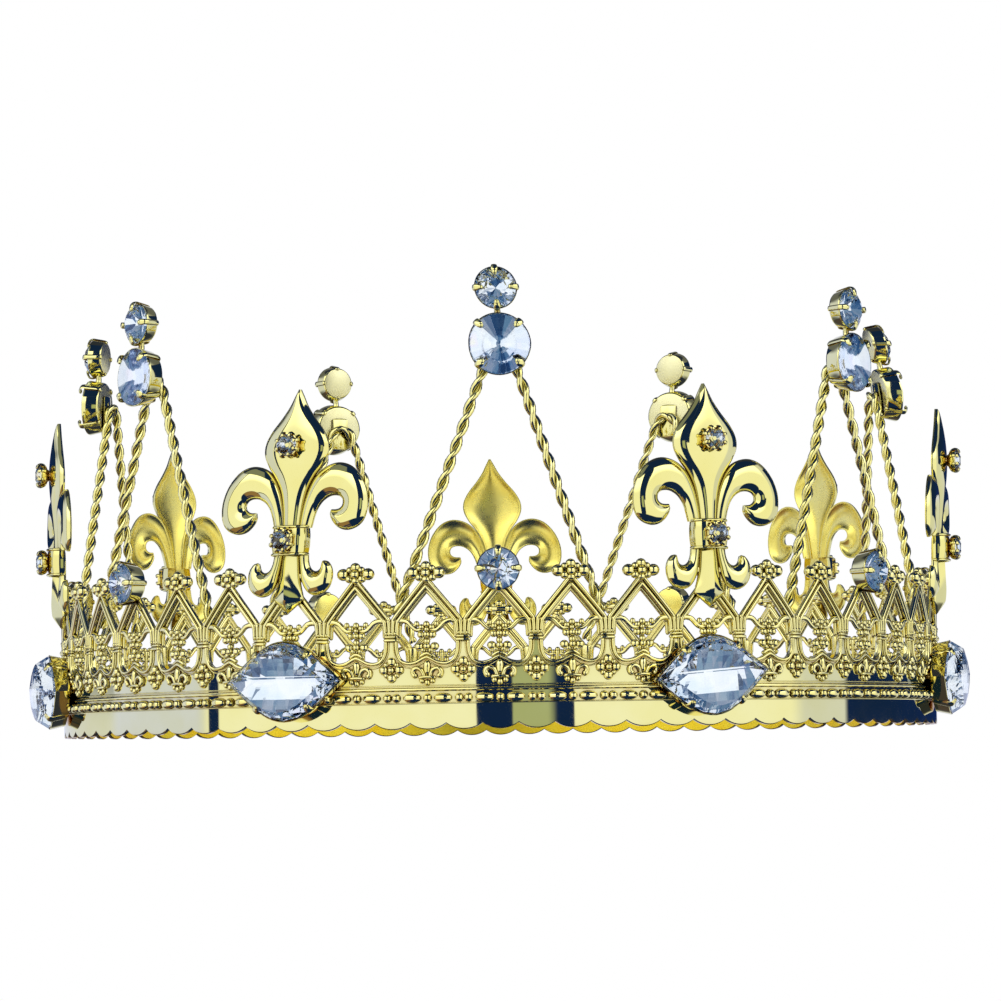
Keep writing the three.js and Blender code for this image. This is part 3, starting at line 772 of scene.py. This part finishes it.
CURL_IN = [(3.4, 31.2), (3.55, 29.9), (3.85, 29.0), (4.3, 28.45), (4.85, 28.2), (5.3, 28.2), (5.65, 28.35), (5.9, 28.6), (6.05, 28.9), (6.15, 29.3), (6.3, 29.75)]
CURL_H = [1.0, 1.15, 1.3, 1.4, 1.45, 1.4, 1.35, 1.2, 1.0, 0.7, 0.25]
SPIKE = [(1.55, 31.4, 1.7), (1.75, 29.6, 1.8), (2.0, 27.6, 1.9), (2.35, 25.6, 2.0), (2.85, 23.9, 1.9), (2.75, 23.1, 1.7), (1.4, 21.9, 0.9), (0.12, 20.9, 0.15)]


def fleur():
    s = Soup()
    for sx in (-1, 1):
        flip = lambda pts: [(sx * x, y) for x, y in pts]
        shell, m = domed(flip(PETAL_OUT), flip(PETAL_IN), PETAL_H, FB, n=30, pressed=True)
        s.add(shell, m)
        shell, m = domed(flip(CURL_OUT), flip(CURL_IN), CURL_H, FB, n=26, pressed=True)
        s.add(shell, m)
    shell, m = domed([(-w, y) for w, y, _ in LEAF], [(w, y) for w, y, _ in LEAF], [h for _, _, h in LEAF], FB + 0.25, n=40, per=7, pressed=True)
    s.add(shell, m)
    shell, m = domed([(-w, y) for w, y, _ in SPIKE], [(w, y) for w, y, _ in SPIKE], [h for _, _, h in SPIKE], FB + 0.1, n=16, per=4, power=2.2, roof=0.85)
    s.add(shell, m)
    # collar: a barrel across the stem with a bead along each edge
    left = [(-3.25, 31.1), (-3.45, 32.4), (-3.5, 33.6), (-3.45, 34.8), (-3.25, 36.1)]
    shell, m = domed(left, [(-x, y) for x, y in left], [2.55, 2.75, 2.8, 2.75, 2.55], FB, n=18, per=3, power=2.6)
    s.add(shell, m)
    for y in (31.2, 36.0):
        t = np.linspace(0, math.pi, 17)
        s.add(tube(np.stack([-3.35 * np.cos(t), np.full(17, y), FB + 0.35 + 2.65 * np.sin(t) ** (2 / 2.6)], -1), 0.27, 0.27, across=(0, 1, 0), sides=8))
    return s


def back_strip():
    """The flat strip soldered behind the fleur, which carries it on the band."""
    s = Soup()
    w, z0, z1, y0, y1 = 1.6, FB - 0.32, FB + 0.12, 22.0, 35.5
    ys = np.linspace(y0, y1, 16)
    loop = []
    for y in ys:
        k = np.interp(y, [22, 24, 34, 35.5], [0.6, 1.0, 1.0, 0.7])
        loop.append([(-w * k, y, z0 + 0.08), (-w * k + 0.1, y, z0), (w * k - 0.1, y, z0), (w * k, y, z0 + 0.08), (w * k, y, z1), (-w * k, y, z1)])
    loop = np.array(loop)
    v = loop.reshape(-1, 3)
    f = quads(len(ys), 6, True).tolist()
    e = 6 * (len(ys) - 1)
    f += [[0, 1, 2, 3], [0, 3, 4, 5], [e + 3, e + 2, e + 1, e], [e + 5, e + 4, e + 3, e]]
    s.add((v, np.array(f)))
    return s


def flower_cup(y, base, top=89.7):
    """A small pedestal with eight claws round a 4 mm stone."""
    s = Soup()
    s.add(lathe([(0, base), (1.25, base), (1.1, base + 0.3), (1.0, base + 0.5), (1.55, top - 1.0), (2.05, top - 0.5), (2.15, top - 0.05), (1.95, top), (1.7, top - 0.5), (0, top - 0.9)], (0, y, 0), 24))
    for k in range(8):
        a = (k + 0.5) * math.pi / 4
        d = np.array([math.cos(a), math.sin(a), 0])
        path = smooth([d * q + [0, y, z] for q, z in ((1.5, top - 1.1), (2.1, top - 0.7), (2.32, top - 0.1), (2.12, top + 0.42), (1.72, top + 0.6))], 3)
        s.add(tube(path, 0.2, 0.34, across=(-math.sin(a), math.cos(a), 0), sides=8))
    return s


fleur_stone = dict(r=1.93, girdle=89.75, back=0, y=0)
# the fleur's hollow back and its strip take the painted reflection and shade plate
m_fleur = stood(mesh_of("fleur_sheet", fleur(), [GOLD, GOLD_BACK_PAINTED_LIGHT], 50))
m_strip = stood(mesh_of("fleur_strip", back_strip(), [GOLD_BACK_PAINTED_LIGHT], 35))
m_fcups, m_fstones = [], []
for tag, y, base in (("upper", 50.3, FB + 2.1), ("lower", 33.6, FB + 2.6)):
    m_fcups.append((tag, stood(mesh_of("fleur_cup_" + tag, flower_cup(y, base), [GOLD_CUP], 45))))
    m_fstones.append((tag, stood(mesh_of("fleur_stone_" + tag, brilliant(dict(fleur_stone, y=y), 0.75, 88.7, 0.1), [CRYSTAL, FOIL_SMALL], None))))

# ------------------------------------------------------------------ navettes
NAV = dict(a=11.15, b=6.95, y=8.8, back=85.35, rim=88.3)


def lemon(grow, n=10, a=NAV["a"], b=NAV["b"]):
    """A quarter at a time: pointed at the sides, with round shoulders, grown by grow."""
    shape = smooth([(1.0, 0.0), (0.9, 0.145), (0.8, 0.29), (0.66, 0.485), (0.5, 0.69), (0.32, 0.87), (0.15, 0.97), (0.0, 1.0)], 4)
    d = np.r_[0, np.cumsum(np.linalg.norm(np.diff(shape * [a, b], axis=0), axis=1))]
    q = np.linspace(0, d[-1], n + 1)
    x, y = np.interp(q, d, shape[:, 0]) * (a + grow * 1.4), np.interp(q, d, shape[:, 1]) * (b + grow)
    quarter = np.stack([x, y], -1)
    top = np.vstack([quarter, quarter[-2::-1] * [-1, 1]])
    return np.vstack([top, top[-2:0:-1] * [1, -1]])


def stack(levels, y0):
    """Outlines stacked outwards, closed with a fan at each end."""
    n = len(levels[0][0])
    v = np.vstack([np.column_stack([o[:, 0], o[:, 1] + y0, np.full(n, z)]) for o, z in levels])
    f = quads(len(levels), n, True).tolist()
    c = len(v)
    v = np.vstack([v, [[0, y0, levels[0][1]], [0, y0, levels[-1][1]]]])
    f += [[c, (j + 1) % n, j, -1] for j in range(n)]
    base = (len(levels) - 1) * n
    f += [[c + 1, base + j, base + (j + 1) % n, -1] for j in range(n)]
    return v, np.array(f)


def navette_cup():
    s = Soup()
    n = 12
    b, rim = NAV["back"], NAV["rim"]
    s.add(stack([(lemon(-0.75, n), b), (lemon(-0.45, n), b + 0.12), (lemon(0.12, n), rim - 0.35), (lemon(0.2, n), rim), (lemon(0.1, n), rim + 0.06), (lemon(-0.05, n), rim - 0.02), (lemon(-0.5, n), b + 0.9), (lemon(-0.9, n), b + 0.5)], NAV["y"]))
    for sx in (-1, 1):
        for sy in (-1, 1):
            x, y = 5.35, 4.95
            d = np.array([sx * 0.62, sy * 0.78, 0])
            p = np.array([sx * x, sy * y + NAV["y"], 0])
            line = [(-1.0, b - 0.02), (-0.55, b + 0.25), (0.16, rim - 0.5), (0.3, rim + 0.1), (0.22, rim + 0.75), (-0.35, rim + 1.15), (-0.75, rim + 1.25)]
            path = smooth([p + d * q + [0, 0, z] for q, z in line], 4)
            s.add(tube(path, 0.2, np.interp(np.arange(len(path)) / (len(path) - 1), [0, 0.7, 1], [0.75, 0.7, 0.5]), across=(-d[1], d[0], 0), sides=10))
            s.add(ball(p + d * -0.72 + [0, 0, rim + 1.2], (0.5, 0.5, 0.34), 10, 6))
    return s


def clip(poly, a, b):
    """Keeps the part of a polygon on the left of the line from a to b."""
    out = []
    for i in range(len(poly)):
        p, q = poly[i], poly[(i + 1) % len(poly)]
        sp = (b[0] - a[0]) * (p[1] - a[1]) - (b[1] - a[1]) * (p[0] - a[0])
        sq = (b[0] - a[0]) * (q[1] - a[1]) - (b[1] - a[1]) * (q[0] - a[0])
        if sp >= 0:
            out.append(p)
        if (sp > 0 > sq) or (sp < 0 < sq):
            t = sp / (sp - sq)
            out.append((p[0] + t * (q[0] - p[0]), p[1] + t * (q[1] - p[1])))
    return out


def checker_stone():
    """Checkerboard top: flat cells whose slope changes from column to column and from row to row."""
    girdle = NAV["rim"] + 0.1
    n = 5
    rim = lemon(-0.12, n)
    table = lemon(-1.5, n)
    xs = np.array([-9.4, -6.0, -3.2, -0.6, 1.9, 4.3, 9.4])
    ys = np.array([-6.2, -3.1, -1.2, 0.7, 3.2, 6.2])
    slope = lambda edges, tilts: np.r_[0, np.cumsum(np.diff(edges) * np.tan(np.radians(tilts)))]
    fx = slope(xs, [13.0, 7.0, 2.0, -3.0, -9.0, -15.0])
    fy = slope(ys, [16.0, 8.0, 3.0, -9.0, -15.0])
    fx, fy = fx - fx.max(), fy - fy.max()
    top = 3.5
    height = lambda x, y: girdle + top + np.interp(x, xs, fx) + np.interp(y, ys, fy)
    verts, faces, mats, index = [], [], [], {}

    def vert(x, y, z):
        key = (round(x, 3), round(y, 3), round(z, 3))
        if key not in index:
            index[key] = len(verts)
            verts.append([x, y + NAV["y"], z])
        return index[key]

    edge = [tuple(p) for p in table]
    on_edge = [[] for _ in edge]
    for i in range(len(xs) - 1):
        for j in range(len(ys) - 1):
            poly = [(xs[i], ys[j]), (xs[i + 1], ys[j]), (xs[i + 1], ys[j + 1]), (xs[i], ys[j + 1])]
            for e in range(len(edge)):
                poly = clip(poly, edge[e], edge[(e + 1) % len(edge)])
                if len(poly) < 3:
                    break
            if len(poly) < 3:
                continue
            ids = []
            for p in poly:
                k = vert(p[0], p[1], height(p[0], p[1]))
                if not ids or ids[-1] != k:
                    ids.append(k)
                for e in range(len(edge)):
                    a, b = np.array(edge[e]), np.array(edge[(e + 1) % len(edge)])
                    d = b - a
                    t = float(np.dot(np.array(p) - a, d) / np.dot(d, d))
                    if -1e-6 <= t <= 1 + 1e-6 and np.linalg.norm(a + t * d - p) < 1e-5:
                        on_edge[e].append((t, k))
            if ids[0] == ids[-1]:
                ids.pop()
            if len(ids) >= 3:
                faces.append(ids)
                mats.append(0)
    g0 = [vert(p[0], p[1], girdle + 0.25) for p in rim]
    g1 = [vert(p[0], p[1], girdle - 0.05) for p in rim]
    low = [vert(p[0], p[1], girdle - (0.75 if p[1] > 0.1 else 1.55 if p[1] < -0.1 else 1.2)) for p in lemon(-0.9, n)]
    deep = [vert(p[0], 0.6, girdle - 2.0) for p in lemon(-2.2, n) * [0.86, 0]]
    N = len(rim)
    for e in range(N):
        k = (e + 1) % N
        chain = []
        for t, v in sorted(set(on_edge[e])):
            if not chain or chain[-1] != v:
                chain.append(v)
        mid = len(chain) // 2
        for c in range(len(chain) - 1):  # facets round the table
            faces.append([chain[c], chain[c + 1], g0[e] if c < mid else g0[k]])
            mats.append(0)
        pivot = chain[mid]
        faces.append([pivot, g0[k], g0[e]])
        mats.append(0)
        faces.append([g0[e], g0[k], g1[k], g1[e]])
        mats.append(0)
        faces.append([g1[e], g1[k], low[k], low[e]])
        mats.append(1)
        if deep[e] != deep[k]:
            faces.append([low[e], low[k], deep[k], deep[e]])
        else:
            faces.append([low[e], low[k], deep[e]])
        mats.append(1)
    me = bpy.data.meshes.new("stone_navette")
    me.from_pydata((np.array(verts) * MM).tolist(), [], faces)
    me.materials.append(CRYSTAL)
    me.materials.append(FOIL)
    me.polygons.foreach_set("material_index", np.array(mats, np.int32))
    bm = bmesh.new()
    bm.from_mesh(me)
    bmesh.ops.remove_doubles(bm, verts=bm.verts, dist=1e-6)
    bmesh.ops.recalc_face_normals(bm, faces=bm.faces)
    bm.to_mesh(me)
    bm.free()
    return me


m_navcup = stood(mesh_of("cup_navette", navette_cup(), [GOLD_CUP], 42))
m_nav = stood(checker_stone())
for i in range(STATIONS):
    a, n = (i + 0.5) * STATION, i + 1
    stand = lambda me: leaned(me, fleur_lean(i), n)
    piece(f"fleur_{n}_sheet", stand(m_fleur), [f"fleur_de_lis_{n}"], a)
    piece(f"fleur_{n}_back_strip", stand(m_strip), (), a)
    for tag, me in m_fcups:
        piece(f"fleur_{n}_{tag}_cup", stand(me), (), a)
    for tag, me in m_fstones:
        piece(f"fleur_{n}_{tag}_stone", stand(me), (), a)
    piece(f"navette_{n}_cup", turned(m_navcup, NAVETTE_TURN[i], n), [f"navette_claw_cup_{n}"], a, NAVETTE_SHIFT[i])
    piece(f"navette_{n}_stone", turned(m_nav, NAVETTE_TURN[i], n), [f"navette_stone_{n}"], a, NAVETTE_SHIFT[i])

# ------------------------------------------------------------------ studio
def smoothstep(nt, value, lo, hi):
    m = nt.nodes.new("ShaderNodeMapRange")
    m.interpolation_type = "SMOOTHSTEP"
    m.inputs["From Min"].default_value, m.inputs["From Max"].default_value = lo, hi
    nt.links.new(value, m.inputs["Value"])
    return m.outputs[0]


def maths(nt, op, a, b=None):
    m = nt.nodes.new("ShaderNodeMath")
    m.operation = op
    for i, x in enumerate((a, b)):
        if x is None:
            continue
        if isinstance(x, (int, float)):
            m.inputs[i].default_value = x
        else:
            nt.links.new(x, m.inputs[i])
    return m.outputs[0]


def between(nt, value, lo, hi, soft):
    return maths(nt, "MULTIPLY", smoothstep(nt, value, lo - soft, lo + soft), maths(nt, "SUBTRACT", 1.0, smoothstep(nt, value, hi - soft, hi + soft)))


def studio():
    """A white tent, dim overhead, with dark openings beside the camera and a dark room behind it on the right."""
    w = bpy.data.worlds.new("studio")
    w.use_nodes = True
    bpy.context.scene.world = w
    nt = w.node_tree
    nt.nodes.clear()
    out = nt.nodes.new("ShaderNodeOutputWorld")
    sep = nt.nodes.new("ShaderNodeSeparateXYZ")
    nt.links.new(nt.nodes.new("ShaderNodeTexCoord").outputs["Generated"], sep.inputs[0])
    x, y, z = sep.outputs
    az = maths(nt, "MULTIPLY", maths(nt, "ARCTAN2", x, maths(nt, "MULTIPLY", y, -1.0)), 180 / math.pi)
    colour = None

    def layer(base, mask, rgb, amount=1.0):
        m = nt.nodes.new("ShaderNodeMix")
        m.data_type = "RGBA"
        if amount != 1.0:
            mask = maths(nt, "MULTIPLY", mask, amount)
        nt.links.new(mask, m.inputs[0])
        if isinstance(base, tuple):
            m.inputs[6].default_value = (*base, 1)
        else:
            nt.links.new(base, m.inputs[6])
        m.inputs[7].default_value = (*rgb, 1)
        return m.outputs[2]

    el = maths(nt, "MULTIPLY", maths(nt, "ARCSINE", z), 180 / math.pi)
    navy, shade, brown = (0.006, 0.02, 0.11), (0.21, 0.235, 0.27), (0.29, 0.175, 0.105)
    colour = layer((1.0, 1.0, 0.98), smoothstep(nt, el, 12.0, 30.0), (1.75, 1.75, 1.7))
    colour = layer(colour, smoothstep(nt, maths(nt, "ABSOLUTE", az), 79.0, 85.0), (0.72, 0.75, 0.95))
    colour = layer(colour, between(nt, az, -119.0, -82.0, 3.0), (0.70, 0.75, 1.22))
    panel = maths(nt, "MULTIPLY", smoothstep(nt, az, 2.7, 3.3), maths(nt, "SUBTRACT", 1.0, smoothstep(nt, az, 11.6, 14.6)))
    left = between(nt, az, -100.0, -26.0, 3.0)
    lefter = maths(nt, "SUBTRACT", 1.0, smoothstep(nt, az, -44.0, -36.0))
    above, below = smoothstep(nt, el, 40.5, 43.5), smoothstep(nt, maths(nt, "MULTIPLY", el, -1.0), 32.5, 35.5)
    colour = layer(colour, above, navy)
    colour = layer(colour, maths(nt, "MULTIPLY", left, between(nt, el, 42.0, 70.0, 1.5)), shade)
    colour = layer(colour, below, navy)
    colour = layer(colour, maths(nt, "MULTIPLY", lefter, between(nt, el, -54.0, -34.0, 1.5)), brown)
    colour = layer(colour, maths(nt, "MULTIPLY", lefter, between(nt, el, -68.0, -60.0, 1.5)), brown, 0.6)
    behind = maths(nt, "MULTIPLY", smoothstep(nt, maths(nt, "ABSOLUTE", az), 96.0, 120.0), smoothstep(nt, maths(nt, "ABSOLUTE", el), 20.0, 30.0))
    colour = layer(colour, behind, (0.03, 0.035, 0.07), 0.85)
    for lo, hi, soft, down, top, fade in (
        (-6.0, 18.5, 0.2, -36.0, 44.0, 2.0), (18.0, 26.0, 0.4, 3.4, 44.0, 0.3), (-80.0, -76.5, 0.3, -36.0, 44.0, 2.0), (100.0, 168.0, 1.0, 0.0, 30.0, 0.5), (-168.0, -119.0, 1.0, 1.2, 30.0, 0.6)
    ):
        colour = layer(colour, maths(nt, "MULTIPLY", between(nt, az, lo, hi, soft), between(nt, el, down, top, fade)), navy)
    colour = layer(colour, maths(nt, "MULTIPLY", panel, between(nt, el, -9.0, 7.0, 1.0)), (0.42, 0.47, 0.34))
    # what the stones gather through their facets is the same tent, with its dark parts lifted to a soft blue
    tint = noise(nt, nt.nodes.new("ShaderNodeTexCoord").outputs["Generated"], 3.2, 1.0)
    soft_blue = ramp(nt, tint, [(0.34, (0.015, 0.045, 0.11)), (0.43, (0.045, 0.12, 0.25)), (0.54, (0.14, 0.26, 0.37)), (0.63, (0.25, 0.31, 0.41))])
    dim = maths(nt, "MAXIMUM", maths(nt, "MAXIMUM", smoothstep(nt, el, 24.0, 30.0), smoothstep(nt, maths(nt, "MULTIPLY", el, -1.0), 29.0, 33.0)), between(nt, az, -6.0, 27.0, 1.0))
    inside = nt.nodes.new("ShaderNodeMix")
    inside.data_type = "RGBA"
    nt.links.new(dim, inside.inputs[0])
    inside.inputs[6].default_value = (1.05, 1.08, 1.08, 1)
    nt.links.new(soft_blue, inside.inputs[7])
    lifted = nt.nodes.new("ShaderNodeMix")
    lifted.data_type = "RGBA"
    nt.links.new(nt.nodes.new("ShaderNodeLightPath").outputs["Is Transmission Ray"], lifted.inputs[0])
    nt.links.new(colour, lifted.inputs[6])
    nt.links.new(inside.outputs[2], lifted.inputs[7])
    colour = lifted.outputs[2]
    bg = nt.nodes.new("ShaderNodeBackground")
    nt.links.new(colour, bg.inputs[0])
    plain = nt.nodes.new("ShaderNodeBackground")
    plain.inputs[0].default_value = (1, 1, 1, 1)
    mix = nt.nodes.new("ShaderNodeMixShader")
    nt.links.new(nt.nodes.new("ShaderNodeLightPath").outputs["Is Camera Ray"], mix.inputs[0])
    nt.links.new(bg.outputs[0], mix.inputs[1])
    nt.links.new(plain.outputs[0], mix.inputs[2])
    nt.links.new(mix.outputs[0], out.inputs[0])


studio()


def floor():
    """A pale table top. It is one-sided, because the camera looks at the rim from just under it, and fades out far away."""
    me = bpy.data.meshes.new("floor")
    a = np.arange(64) / 64 * 2 * math.pi
    v = [[0, 0, -0.00005]] + [[1.6 * math.cos(t), 1.6 * math.sin(t), -0.00005] for t in a]
    me.from_pydata(v, [], [[0, 1 + j, 1 + (j + 1) % 64] for j in range(64)])
    mat, nt, out = new_material("floor_paper")
    tc = nt.nodes.new("ShaderNodeTexCoord").outputs["Object"]
    length = nt.nodes.new("ShaderNodeVectorMath")
    length.operation = "LENGTH"
    nt.links.new(tc, length.inputs[0])
    bsdf = nt.nodes.new("ShaderNodeBsdfPrincipled")
    nt.links.new(ramp(nt, noise(nt, tc, 900.0, 2.0), [(0.3, (0.86, 0.86, 0.86)), (0.7, (0.89, 0.89, 0.885))]), bsdf.inputs["Base Color"])
    bsdf.inputs["Roughness"].default_value = 0.9
    bsdf.inputs["Specular IOR Level"].default_value = 0.1
    bsdf.inputs["Emission Color"].default_value = (1, 1, 1, 1)
    bsdf.inputs["Emission Strength"].default_value = 0.22
    clear = nt.nodes.new("ShaderNodeBsdfTransparent")
    mix = nt.nodes.new("ShaderNodeMixShader")
    back = nt.nodes.new("ShaderNodeNewGeometry").outputs["Backfacing"]
    fade = smoothstep(nt, length.outputs["Value"], 0.35, 1.4)
    nt.links.new(maths(nt, "MAXIMUM", back, fade), mix.inputs[0])
    nt.links.new(bsdf.outputs[0], mix.inputs[1])
    nt.links.new(clear.outputs[0], mix.inputs[2])
    nt.links.new(mix.outputs[0], out.inputs[0])
    me.materials.append(mat)
    o = bpy.data.objects.new("floor", me)
    o.visible_glossy = False  # polished metal and stones see the dim room under the table top, as on a small plinth
    o.visible_transmission = False
    bpy.context.scene.collection.objects.link(o)


floor()


def softbox(name, at, size, power, aim=(0, 0, 0.04)):
    light = bpy.data.lights.new(name, "AREA")
    light.shape, light.size, light.size_y, light.energy = "RECTANGLE", size[0], size[1], power
    o = bpy.data.objects.new(name, light)
    o.location = at
    o.rotation_euler = (Vector(at) - Vector(aim)).to_track_quat("Z", "Y").to_euler()
    o.visible_camera = False
    o.visible_glossy = False  # the polished metal and the stones show only the even tent
    o.visible_transmission = False
    bpy.context.scene.collection.objects.link(o)


softbox("softbox_left", (-0.9, -0.75, 0.75), (0.5, 0.8), 9.0)
softbox("softbox_right", (0.75, -1.0, 0.5), (0.35, 0.7), 5.0)


def camera():
    f, dist, height, tilt, roll, yaw = 3842.4, 754.2, -5.5, 0.0674, -0.0169, 0.0009
    cam = bpy.data.cameras.new("camera")
    cam.sensor_width = 36.0
    cam.lens = f / 1001 * 36.0
    cam.clip_start, cam.clip_end = 0.01, 50.0
    o = bpy.data.objects.new("camera", cam)
    bpy.context.scene.collection.objects.link(o)
    c, s = math.cos(roll), math.sin(roll)
    ahead = Vector((math.sin(yaw) * math.cos(tilt), math.cos(yaw) * math.cos(tilt), math.sin(tilt)))
    right = Vector((math.cos(yaw), -math.sin(yaw), 0))
    up = right.cross(ahead)
    x, y, z = c * right + s * up, -s * right + c * up, -ahead
    o.matrix_world = Matrix(((x[0], y[0], z[0], 0.0), (x[1], y[1], z[1], -dist * MM), (x[2], y[2], z[2], height * MM), (0, 0, 0, 1)))
    bpy.context.scene.camera = o


camera()
